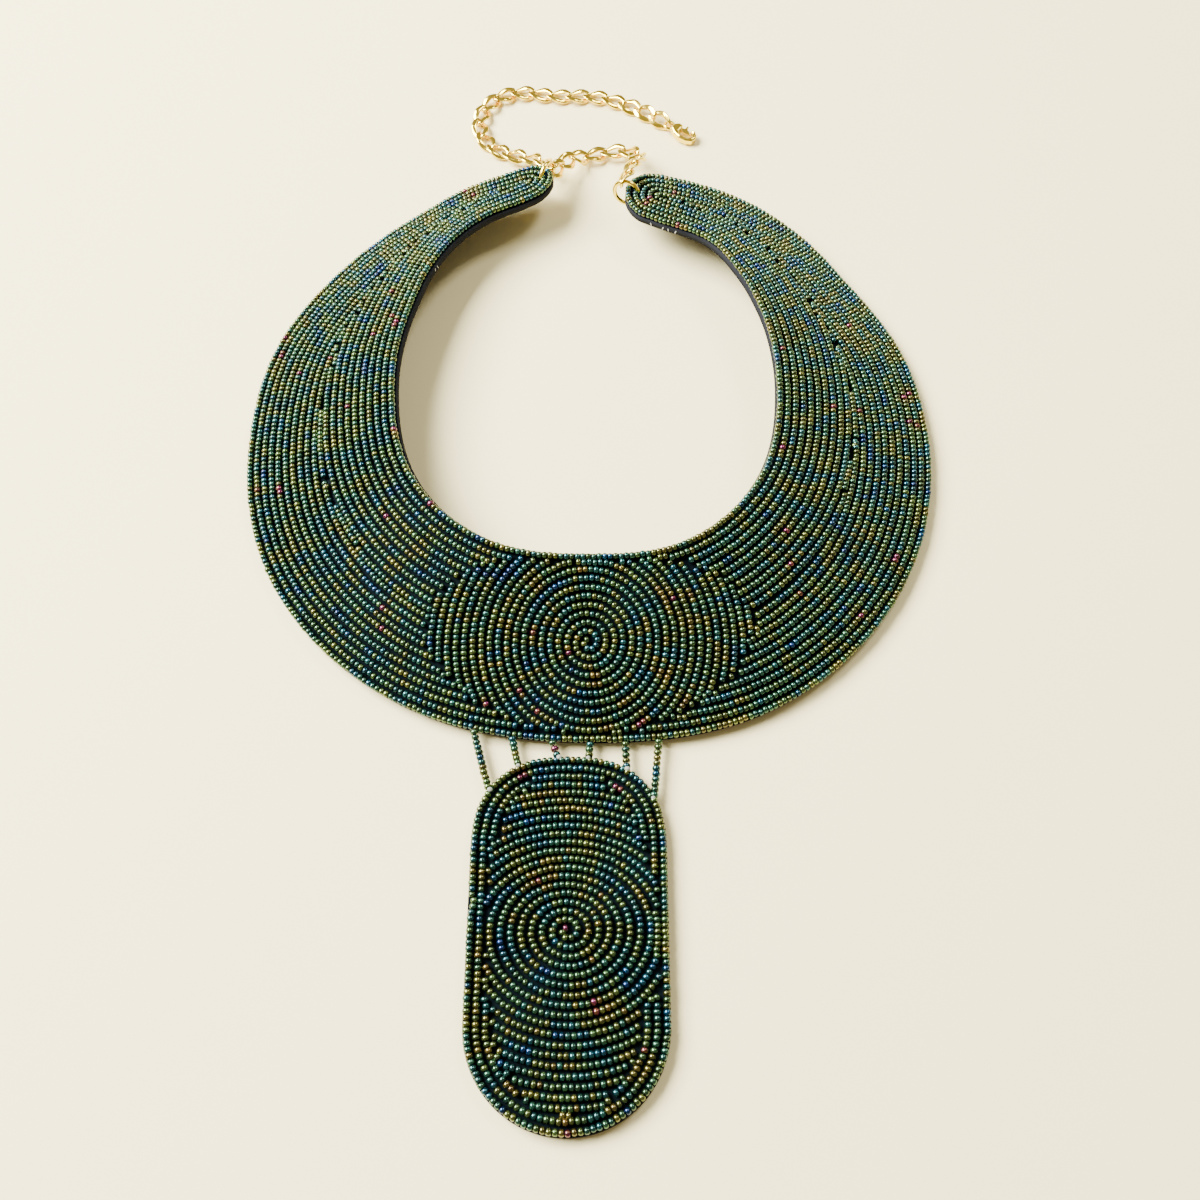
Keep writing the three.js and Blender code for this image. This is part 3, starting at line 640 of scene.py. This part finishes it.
def beads(name, rows, node, cooler, pink=None, size=1.0):
    """Beads along rows as one mesh, from copies of one bead. pink is the place of a single pink bead."""
    places = np.vstack([row[0] for row in rows])
    ways = np.vstack([row[1] for row in rows])
    ups = np.vstack([row[2] for row in rows])
    count = len(places)
    ways = ways + rng.normal(0, BEAD_SWAY, ways.shape)
    ways /= np.linalg.norm(ways, axis=1, keepdims=True)
    sides = np.cross(ups, ways)
    sides /= np.linalg.norm(sides, axis=1, keepdims=True)
    ups = np.cross(ways, sides)
    grow = rng.uniform(*BEAD_ROUND, (count, 1, 1)) * size
    slim = rng.uniform(*BEAD_LONG, (count, 1, 1))
    shift = sides * rng.normal(0, BEAD_SHIFT, (count, 1))
    places = places + shift + ups * rng.uniform(*BEAD_LIFT, (count, 1))
    roll = rng.uniform(0, 2 * pi, (count, 1, 1))
    across, above = bead_corners[None, :, 1:2], bead_corners[None, :, 2:3]
    y = (across * np.cos(roll) - above * np.sin(roll)) * grow
    z = (across * np.sin(roll) + above * np.cos(roll)) * grow
    x = bead_corners[None, :, 0:1] * slim
    corners = places[:, None] + x * ways[:, None] + y * sides[:, None] + z * ups[:, None]
    faces = bead_faces[None] + (np.arange(count) * len(bead_corners))[:, None, None]
    mesh = bpy.data.meshes.new(name)
    mesh.from_pydata(((corners.reshape(-1, 3) + TO_FRAME) * MM).tolist(), [], faces.reshape(-1, 4).tolist())
    hues = bead_hues(places, cooler)
    if pink is not None:
        hues[np.argmin(np.linalg.norm(places - pink, axis=1))] = 0
    for label, values in (("hue", hues), ("depth", rng.random(count))):
        layer = mesh.attributes.new(label, "FLOAT", "POINT")
        layer.data.foreach_set("value", np.repeat(values, len(bead_corners)).astype(np.float32))
    mesh.shade_smooth()
    mesh.materials.append(glass)
    obj = bpy.data.objects.new(name, mesh)
    bpy.context.scene.collection.objects.link(obj)
    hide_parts(node)
    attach(obj, "necklace")


def nearer_rim(places):
    return under_plan(places[:, 0], places[:, 1])[3] > 0


# How much cooler than the whole range each field of beads is.
WING_COOLER, EDGE_COOLER, CENTRE_COOLER, PENDANT_COOLER = 0.11, 0.06, 0.03, 0.05
STRAND_BEAD_SIZE = 1.14
PINK_STRAND = 3
edge_row = evenly(*collar_loop(EDGE_INSET), BEAD_PITCH, closed=True)
taken = edge_row[0].tolist()
beads("collar_edge_beads", [edge_row], "collar_edge_row", EDGE_COOLER)
beads("medallion_beads", medallion_rows(taken), "front_medallion", CENTRE_COOLER)
wings = wing_rows(taken)
for word, side in (("left", -1), ("right", 1)):
    here = split_rows(wings, lambda p: p[:, 0] * side > 0)
    for part, test in (("rim", nearer_rim), ("neck", lambda p: ~nearer_rim(p))):
        beads(f"{word}_{part}_side_rows", split_rows(here, test), f"{word}_wing_beads", WING_COOLER)
edge_row = plaque_edge_row()
taken = edge_row[0].tolist()
beads("plaque_edge_beads", [edge_row], "pendant_edge_row", PENDANT_COOLER)
middle_bead = np.array([*PLAQUE_MIDDLE, BEAD_MIDDLE])
beads("plaque_beads", plaque_rows(taken), "pendant_bead_field", CENTRE_COOLER, middle_bead)
for i, (collar_turn, across) in enumerate(STRANDS, 1):
    row = strand_row(collar_turn, across)
    pink = row[0][len(row[0]) // 2] if i == PINK_STRAND else None
    beads(f"strand_{i}_beads", [row], f"drop_strand_{i}", PENDANT_COOLER, pink, STRAND_BEAD_SIZE)


# Thread
def thread_spots(name, spots, material):
    """Small rounded bits of thread. Each spot is a place, its three directions and its three half sizes."""
    bm = bmesh.new()
    for place, ways, sizes in spots:
        made = bmesh.ops.create_uvsphere(bm, u_segments=10, v_segments=7, radius=1.0)["verts"]
        for v in made:
            v.co = Vector((place + (np.array(v.co[:]) * sizes) @ ways + TO_FRAME) * MM)
    obj = as_mesh(name, bm, material)
    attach(obj, "necklace")


# Stitches across the leather's neck side, and how far each leans. Half a stitch's width, depth and length.
STITCH_SIZE = (0.2, 0.16, 0.7)
STITCHES = [
    # turn, lean
    (165.2, 0.35),
    (162.1, -0.25),
    (160.7, 0.3),
    (158.8, -0.3),
    (-139.5, 0.3),
    (-138.4, -0.2),
]
spots = []
for stitch_turn, lean in STITCHES:
    reach = np.interp(stitch_turn, along_turn, half_width)
    place, up = on_band(np.array(stitch_turn), np.array(-reach - 0.1), LEATHER * 0.35)
    out = collar_sections(np.array(stitch_turn))[1]
    out = out / np.linalg.norm(out)
    along_edge = np.cross(up, out)
    long_way = up + lean * along_edge
    long_way = long_way / np.linalg.norm(long_way)
    spots.append((place, np.array([np.cross(long_way, out), out, long_way]), np.array(STITCH_SIZE)))
thread_spots("edge_stitches", spots, white_thread)

# Knots where the strands meet the plaque, by turns a little larger and smaller, and to the right and left.
KNOT_SIZE = np.array([0.85, 0.75, 0.55])
KNOT_SIDE, KNOT_UP, KNOT_RISE = 0.2, 0.7, 0.75
KNOT_UNEVEN = 0.12
spots = []
for i, (_, across) in enumerate(STRANDS):
    sign = (-1) ** i
    place = strand_end(across) + np.array([KNOT_SIDE * sign, KNOT_UP, KNOT_RISE])
    spots.append((place, np.eye(3), KNOT_SIZE * (1.0 + KNOT_UNEVEN * sign)))
thread_spots("strand_knots", spots, clear_thread)


# Leather
FACES_AROUND, FACES_ACROSS = 420, 10
TIP_CROWDING = 0.9
TIP_END_HALF_WIDTH = 0.3


def collar_leather():
    """The collar's sheet, a grid bent onto the band with its columns closer together at the rounded tips."""
    bm = bmesh.new()
    bmesh.ops.create_grid(bm, x_segments=FACES_AROUND, y_segments=FACES_ACROSS, size=0.5)
    verts = list(bm.verts)
    where = np.array([v.co[:] for v in verts])
    s = where[:, 0] + 0.5
    s = s - TIP_CROWDING * np.sin(2 * pi * s) / (2 * pi)
    station = s * fine_along[-1]
    turn = np.interp(station, fine_along, fine_turns)
    reach = np.interp(station, along, half_width)
    reach[(s <= 0) | (s >= 1)] = TIP_END_HALF_WIDTH
    points, _ = on_band(turn, 2 * where[:, 1] * reach, LEATHER)
    for v, p in zip(verts, (points + TO_FRAME) * MM):
        v.co = p
    bmesh.ops.recalc_face_normals(bm, faces=bm.faces)
    if sum(f.normal.z for f in bm.faces) < 0:
        bmesh.ops.reverse_faces(bm, faces=bm.faces)
    bmesh.ops.solidify(bm, geom=bm.faces[:], thickness=LEATHER * MM)
    return as_mesh("collar_leather", bm, leather)


STEEP = 0.6


def paint_side_sheen(obj):
    """The leather's side faces get a lighter grey material: a painted sheen of the light that the sides
    catch.
    """
    obj.data.materials.append(leather_side_sheen)
    for face in obj.data.polygons:
        face.material_index = int(abs(face.normal.z) < STEEP)
    return obj


def plaque_leather():
    """The plaque's sheet, its rims rounded a little."""
    bm = bmesh.new()
    x, y = plaque_loop(0)
    verts = [bm.verts.new((np.array([a, b, 0]) + TO_FRAME) * MM) for a, b in zip(x, y)]
    face = bm.faces.new(verts)
    raised = bmesh.ops.extrude_face_region(bm, geom=[face])
    top = [g for g in raised["geom"] if isinstance(g, bmesh.types.BMVert)]
    bmesh.ops.translate(bm, vec=(0, 0, LEATHER * MM), verts=top)
    bmesh.ops.recalc_face_normals(bm, faces=bm.faces)
    rims = [e for e in bm.edges if abs(e.verts[0].co.z - e.verts[1].co.z) < 1e-6 and e.calc_face_angle(0) > 1]
    bmesh.ops.bevel(bm, geom=rims, offset=0.3 * MM, offset_type="OFFSET", segments=2, profile=0.5,
                    affect="EDGES", material=-1)
    return as_mesh("plaque_leather", bm, leather, smooth=False)


# The side faces of both sheets get the painted sheen.
obj = paint_side_sheen(collar_leather())
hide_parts("collar_backing")
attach(obj, "necklace")
obj = paint_side_sheen(plaque_leather())
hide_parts("pendant_backing")
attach(obj, "necklace")


# Chain
def axes_of(node):
    """The middle and the three main directions of a CAD link or ring, longest first, in metres."""
    corners = np.array([v.co[:] for v in node.data.vertices])
    middle = corners.mean(0)
    _, _, ways = np.linalg.svd(corners - middle, full_matrices=False)
    if np.linalg.det(ways) < 0:
        ways[2] *= -1
    return middle, ways


LINK_LENGTH, LINK_WIDTH, LINK_WIRE = 11.3, 7.4, 1.4
# Pressing makes a link's sides wider and its wire a little thinner, and levels it at the pressed height.
LINK_WIDER, LINK_THINNER, LINK_PRESSED, LINK_SQUARENESS = 0.5, 0.05, 1.15, 0.62
LINK_STEPS, LINK_TWIST = 28, 45
RING_RADIUS, RING_WIRE, RING_STEPS = 5.0, 0.85, 40


def wire_loop(bm, points, ups, wide, thick, sides=10, squareness=1.0):
    """Adds a closed loop of wire through points to a bmesh. Its section is round where squareness is 1."""
    count = len(points)
    wide = np.broadcast_to(wide, count)
    way = np.roll(points, -1, axis=0) - np.roll(points, 1, axis=0)
    way /= np.linalg.norm(way, axis=1, keepdims=True)
    across = np.cross(ups, way)
    across /= np.linalg.norm(across, axis=1, keepdims=True)
    above = np.cross(way, across)
    disc = bmesh.ops.create_circle(bm, segments=sides, radius=1.0)["verts"]
    shape = np.array([v.co[:] for v in disc])
    shape = np.sign(shape) * np.abs(shape) ** squareness
    rings = []
    for i in range(count):
        ring = disc if i == 0 else [bm.verts.new() for _ in range(sides)]
        spots = points[i] + shape[:, :1] * wide[i] * across[i] + shape[:, 1:2] * thick * above[i]
        for v, spot in zip(ring, spots):
            v.co = spot
        edges = ([e for e in bm.edges if e.verts[0] in ring and e.verts[1] in ring] if i == 0
                 else [bm.edges.new((ring[j], ring[(j + 1) % sides])) for j in range(sides)])
        rings.append(edges)
    for i in range(count):
        bmesh.ops.bridge_loops(bm, edges=rings[i] + rings[(i + 1) % count])


def link_form():
    """A curb link pressed flat, with its long way along X."""
    t = np.linspace(0, 2 * pi, LINK_STEPS, endpoint=False)
    twist = radians(LINK_TWIST) * np.cos(t)
    wide = LINK_WIRE / 2 + LINK_WIDER * np.sin(t) ** 2
    end = (LINK_LENGTH - LINK_WIRE) / 2 * np.cos(t)
    side = (LINK_WIDTH / 2 - wide) * np.sin(t)
    points = np.stack([end, side * np.cos(twist), side * np.sin(twist)], 1)
    ups = np.stack([np.zeros_like(t), -np.sin(twist), np.cos(twist)], 1)
    bm = bmesh.new()
    thick = LINK_WIRE / 2 - LINK_THINNER
    wire_loop(bm, points, ups, wide, thick, sides=12, squareness=LINK_SQUARENESS)
    for v in bm.verts:
        v.co.z = max(min(v.co.z, LINK_PRESSED), -LINK_PRESSED)
    bmesh.ops.recalc_face_normals(bm, faces=bm.faces)
    return bm


def chain(name, nodes):
    """One mesh of pressed links, each in the place and direction of its CAD link."""
    form = bpy.data.meshes.new("link_form")
    bm = link_form()
    bm.to_mesh(form)
    bm.free()
    whole = bmesh.new()
    for node in nodes:
        middle, ways = axes_of(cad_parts[node])
        before = len(whole.verts)
        whole.from_mesh(form)
        whole.verts.ensure_lookup_table()
        for v in whole.verts[before:]:
            v.co = Vector(middle + (np.array(v.co[:]) * MM) @ ways)
    bmesh.ops.recalc_face_normals(whole, faces=whole.faces)
    obj = as_mesh(name, whole, gold)
    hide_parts(*nodes)
    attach(obj, "necklace")


def tip_ring(name, node):
    middle, ways = axes_of(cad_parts[node])
    t = np.linspace(0, 2 * pi, RING_STEPS, endpoint=False)
    flat = np.stack([np.cos(t), np.sin(t), np.zeros_like(t)], 1) * RING_RADIUS
    bm = bmesh.new()
    wire_loop(bm, flat, np.tile([0, 0, 1.0], (RING_STEPS, 1)), RING_WIRE, RING_WIRE)
    for v in bm.verts:
        v.co = Vector(middle + (np.array(v.co[:]) * MM) @ ways)
    bmesh.ops.recalc_face_normals(bm, faces=bm.faces)
    obj = as_mesh(name, bm, gold)
    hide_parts(node)
    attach(obj, "necklace")


chain("joining_chain", [f"chain_link_{i:02d}" for i in range(1, 11)])
chain("free_chain", [f"chain_link_{i:02d}" for i in range(11, 30)])
tip_ring("left_ring", "left_tip_ring")
tip_ring("right_ring", "right_tip_ring")


# The clasp's mesh is made anew from small even faces, and its edges are then smoothed a few times.
CLASP_FACE = 0.16
CLASP_SMOOTHING, CLASP_ROUNDS = 0.5, 10


def rounded(name, node, body):
    """The clasp's CAD form with its edges worn round."""
    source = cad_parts[node]
    bm = bmesh.new()
    bm.from_mesh(source.data)
    bmesh.ops.transform(bm, matrix=source.matrix_world, verts=bm.verts)
    bmesh.ops.remove_doubles(bm, verts=bm.verts, dist=0.001 * MM)
    obj = as_mesh(name, bm, gold)
    remesh = obj.modifiers.new("even", "REMESH")
    remesh.mode, remesh.voxel_size = "VOXEL", CLASP_FACE * MM
    smooth = obj.modifiers.new("worn", "SMOOTH")
    smooth.factor, smooth.iterations = CLASP_SMOOTHING, CLASP_ROUNDS
    worn = bpy.data.meshes.new_from_object(obj.evaluated_get(bpy.context.evaluated_depsgraph_get()))
    obj.modifiers.clear()
    obj.data = worn
    worn.shade_smooth()
    worn.materials.clear()
    worn.materials.append(gold)
    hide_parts(node)
    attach(obj, body)


rounded("clasp_claw", "clasp_body", "necklace")
rounded("clasp_thumb_lever", "clasp_lever", "clasp_lever")


# Table, camera and light
def table_material():
    shading = Shading("pale_table", Specular_IOR_Level=0.25, Roughness=0.7)
    cloud = shading.noise(3, detail=1.0)
    shading.into("Base Color", shading.mix(cloud, srgb(235, 223, 168), srgb(231, 218, 164)))
    return shading.material


TABLE_REACH = 9.0
bm = bmesh.new()
bmesh.ops.create_grid(bm, x_segments=4, y_segments=4, size=TABLE_REACH)
table = as_mesh("table_top", bm, table_material())

# The camera's place, in millimetres from the middle of the neck opening, and its tilt fit the outline.
CAMERA_PLACE = np.array([4.3, -270.5, 395.0])
CAMERA_TILT = 27.4
camera = bpy.data.objects.new("camera", bpy.data.cameras.new("camera"))
camera.data.sensor_width = 36
camera.data.lens = 38.94
camera.location = (CAMERA_PLACE + TO_FRAME) * MM
camera.rotation_euler = (radians(CAMERA_TILT), 0, 0)
bpy.context.scene.collection.objects.link(camera)
bpy.context.scene.camera = camera


def panel(name, place, size, power, colour):
    """A soft light that faces the necklace, in metres and watts."""
    light = bpy.data.lights.new(name, "AREA")
    light.shape = "RECTANGLE"
    light.size, light.size_y = size
    light.energy = power
    light.color = colour
    obj = bpy.data.objects.new(name, light)
    obj.location = place
    obj.rotation_euler = (Vector((0, 0, 0)) - Vector(place)).to_track_quat("-Z", "Y").to_euler()
    bpy.context.scene.collection.objects.link(obj)


panel("window", (-1.25, 0.5, 1.3), (1.3, 1.1), 290, (1.0, 1.0, 0.99))
panel("ceiling", (0.9, 0.9, 1.7), (0.6, 0.6), 30, (1.0, 0.97, 0.92))
world = bpy.data.worlds.new("room_light")
world.use_nodes = True
world.node_tree.nodes["Background"].inputs["Color"].default_value = (1.0, 0.86, 0.64, 1)
world.node_tree.nodes["Background"].inputs["Strength"].default_value = 0.4
bpy.context.scene.world = world
